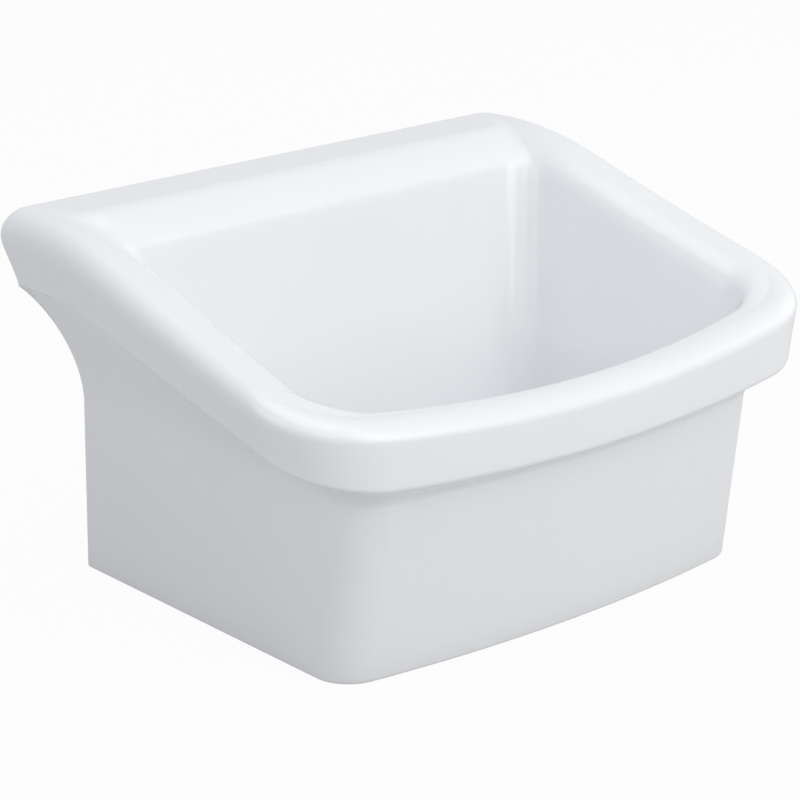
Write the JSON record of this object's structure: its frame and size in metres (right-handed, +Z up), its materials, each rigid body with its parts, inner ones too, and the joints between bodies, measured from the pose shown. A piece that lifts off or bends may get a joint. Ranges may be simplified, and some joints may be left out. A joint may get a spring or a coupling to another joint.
{
  "type": "mop service sink",
  "caption": "Wall-hung mop service sink of white glazed china with a deep bowl, a rolled rim that falls towards the front, a level back ledge, a waste outlet and hidden brackets.",
  "frame": {"origin": "middle of the bounding box, at the underside of the foot", "axes": "+Z up; +Y towards the wall, whose face is the plane y = +0.1985 m; -Y towards the user; +X to the right of a user who faces the wall"},
  "size_m": [0.539, 0.397, 0.307],
  "materials": {
    "china": "gloss",
    "chrome": "polished",
    "steel": "satin",
    "rubber": "matte",
    "nylon": "matte"
  },
  "bodies": {
    "sink": {"basin": "china", "waste_body": "chrome", "flange_seal": "rubber", "under_gasket": "rubber", "slip_washer": "nylon", "locking_nut": "chrome", "hanger_left": "steel", "hanger_right": "steel", "hanger_cushion_left": "rubber", "hanger_cushion_right": "rubber", "fixing_sleeve_left": "nylon", "fixing_sleeve_right": "nylon"},
    "strainer": {"strainer_basket": "chrome", "strainer_knob": "chrome", "knob_rivet": "steel"}
  },
  "joints": [
    {"name": "strainer_lift", "type": "slide", "parent": "sink", "child": "strainer", "axis": [0, 0, 1], "range_m": [0, 0.3]}
  ]
}
